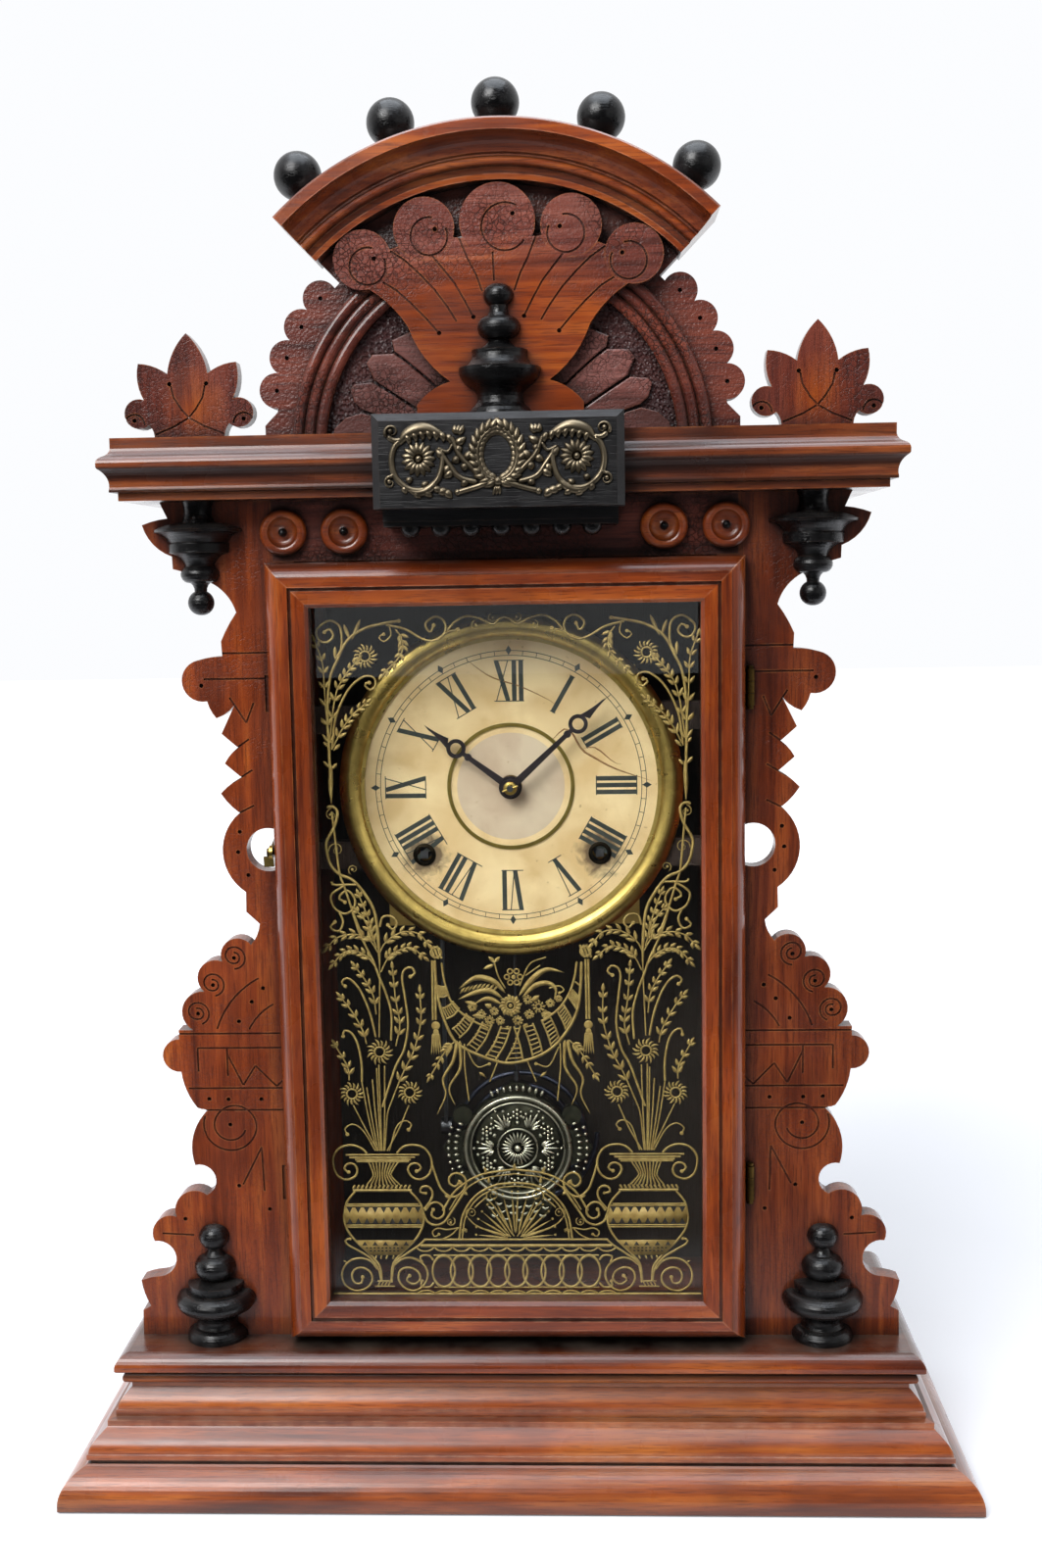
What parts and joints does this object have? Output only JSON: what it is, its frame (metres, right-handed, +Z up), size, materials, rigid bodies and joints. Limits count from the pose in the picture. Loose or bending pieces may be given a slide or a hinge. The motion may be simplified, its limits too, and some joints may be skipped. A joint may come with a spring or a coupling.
{
  "type": "shelf clock",
  "caption": "Tall carved walnut shelf clock with a glazed hinged door, a round dial with Roman numerals, a swinging pendulum and a coiled gong in a moulded case.",
  "frame": {"origin": "middle of the clock's footprint, on the surface it stands on", "axes": "+Z up, the dial and door face -Y, +X to the viewer's right"},
  "size_m": [0.39, 0.134, 0.5879],
  "materials": {
    "walnut": "worn varnished walnut",
    "dark_walnut": "darker crackled varnish on walnut",
    "ebonised": "ebonised, satin",
    "pine": "bare pine",
    "brass": "polished, aged",
    "steel": "fine ground",
    "bronze": "dark patina, rubbed",
    "glass": "clear",
    "dial_paper": "aged, stained",
    "blued_steel": "blued, dull",
    "nickel": "worn nickel plate",
    "spring_steel": "oiled spring steel",
    "black_iron": "black japanned"
  },
  "bodies": {
    "case": {"base_torus_moulding": "dark_walnut", "base_lower_cyma": "dark_walnut", "base_upper_cyma": "walnut", "base_top_board": "dark_walnut", "case_sides": "walnut", "case_back_board": "pine", "pine_inner_pieces": "pine", "frieze_board": "dark_walnut", "left_scroll_board": "walnut", "right_scroll_board": "walnut", "cornice_moulding": "dark_walnut", "frieze_rosettes": "walnut", "plaque_block": "ebonised", "plaque_bronze_ornament": "bronze", "plaque_soffit": "ebonised", "plaque_beads": "ebonised", "tympanum_board": "dark_walnut", "leaf_panel": "dark_walnut", "arch_moulding": "dark_walnut", "fan_panel": "walnut", "crest_moulding": "walnut", "crest_balls": "ebonised", "palmettes": "walnut", "centre_finial": "ebonised", "hanging_drops": "ebonised", "foot_finials": "ebonised", "case_brass_fittings": "brass", "hinge_pins": "brass", "dial_bezel": "brass", "dial_plate": "dial_paper", "dial_brass_rings": "brass", "front_plate": "brass", "back_plate": "brass", "plate_pillars": "brass", "mainsprings": "spring_steel", "escape_wheel": "brass", "gong_coil": "spring_steel", "gong_base": "black_iron"},
    "door": {"door_stiles": "walnut", "door_rails": "walnut", "door_glass": "glass", "glass_beads": "dark_walnut", "door_brass_fittings": "brass"},
    "latch": {"door_latch": "brass"},
    "minute_hand": {"minute_hand": "blued_steel", "hand_collet": "brass", "centre_arbor": "steel"},
    "hour_hand": {"hour_hand": "blued_steel", "hour_wheel": "brass"},
    "minute_wheel": {"minute_wheel": "brass"},
    "time_great_wheel": {"time_great_wheel": "brass"},
    "time_second_wheel": {"time_second_wheel": "brass"},
    "strike_great_wheel": {"strike_great_wheel": "brass"},
    "strike_pin_wheel": {"strike_pin_wheel": "brass"},
    "time_winding_arbor": {"time_winding_arbor": "steel"},
    "strike_winding_arbor": {"strike_winding_arbor": "steel"},
    "pendulum": {"pendulum_rod": "steel", "pendulum_bob": "nickel"},
    "verge": {"verge_and_crutch": "steel"},
    "hammer": {"gong_hammer": "steel"}
  },
  "joints": [
    {"name": "door_hinge", "type": "hinge", "parent": "case", "child": "door", "pos_m": [0.1014, -0.026, 0.23085], "axis": [0, 0, 1], "range_deg": [0, 100]},
    {"name": "door_latch_turn", "type": "hinge", "parent": "door", "child": "latch", "pos_m": [-0.1003, -0.031, 0.2775], "axis": [1, 0, 0], "range_deg": [-16, 2]},
    {"name": "minute_hand_turn", "type": "hinge", "parent": "case", "child": "minute_hand", "pos_m": [0, -0.0066, 0.3006], "axis": [0, 1, 0], "continuous": true},
    {"name": "hour_hand_turn", "type": "hinge", "parent": "case", "child": "hour_hand", "pos_m": [0, -0.0046, 0.3006], "axis": [0, 1, 0], "continuous": true},
    {"name": "minute_wheel_turn", "type": "hinge", "parent": "case", "child": "minute_wheel", "pos_m": [0, 0.006, 0.3166], "axis": [0, 1, 0], "continuous": true},
    {"name": "time_second_wheel_turn", "type": "hinge", "parent": "case", "child": "time_second_wheel", "pos_m": [0.01926, 0.034, 0.29223], "axis": [0, 1, 0], "continuous": true},
    {"name": "time_great_wheel_turn", "type": "hinge", "parent": "case", "child": "time_great_wheel", "pos_m": [0.0385, 0.042, 0.2708], "axis": [0, 1, 0], "continuous": true},
    {"name": "strike_great_wheel_turn", "type": "hinge", "parent": "case", "child": "strike_great_wheel", "pos_m": [-0.0385, 0.042, 0.2708], "axis": [0, 1, 0], "continuous": true},
    {"name": "strike_pin_wheel_turn", "type": "hinge", "parent": "case", "child": "strike_pin_wheel", "pos_m": [-0.03105, 0.034, 0.29862], "axis": [0, 1, 0], "continuous": true},
    {"name": "time_winding", "type": "hinge", "parent": "case", "child": "time_winding_arbor", "pos_m": [0.0385, 0, 0.2708], "axis": [0, 1, 0], "range_deg": [0, 5040]},
    {"name": "strike_winding", "type": "hinge", "parent": "case", "child": "strike_winding_arbor", "pos_m": [-0.0385, 0, 0.2708], "axis": [0, 1, 0], "range_deg": [0, 5040]},
    {"name": "pendulum_swing", "type": "hinge", "parent": "case", "child": "pendulum", "pos_m": [0, 0.0084, 0.2832], "axis": [0, 1, 0], "range_deg": [-4, 4]},
    {"name": "verge_rock", "type": "hinge", "parent": "case", "child": "verge", "pos_m": [0, 0.02, 0.28], "axis": [0, 1, 0], "range_deg": [-4.6, 4.6]},
    {"name": "hammer_lift", "type": "hinge", "parent": "case", "child": "hammer", "pos_m": [-0.036, 0.03, 0.3196], "axis": [0, 1, 0], "range_deg": [0, 5]}
  ],
  "couplings": [
    {"joint": "hour_hand_turn", "follows": "minute_hand_turn", "ratio": 0.083333},
    {"joint": "minute_wheel_turn", "follows": "minute_hand_turn", "ratio": -0.33333},
    {"joint": "time_second_wheel_turn", "follows": "minute_hand_turn", "ratio": -0.16667},
    {"joint": "time_great_wheel_turn", "follows": "minute_hand_turn", "ratio": 0.020833},
    {"joint": "strike_pin_wheel_turn", "follows": "strike_great_wheel_turn", "ratio": -8},
    {"joint": "verge_rock", "follows": "pendulum_swing", "ratio": 1.1}
  ]
}
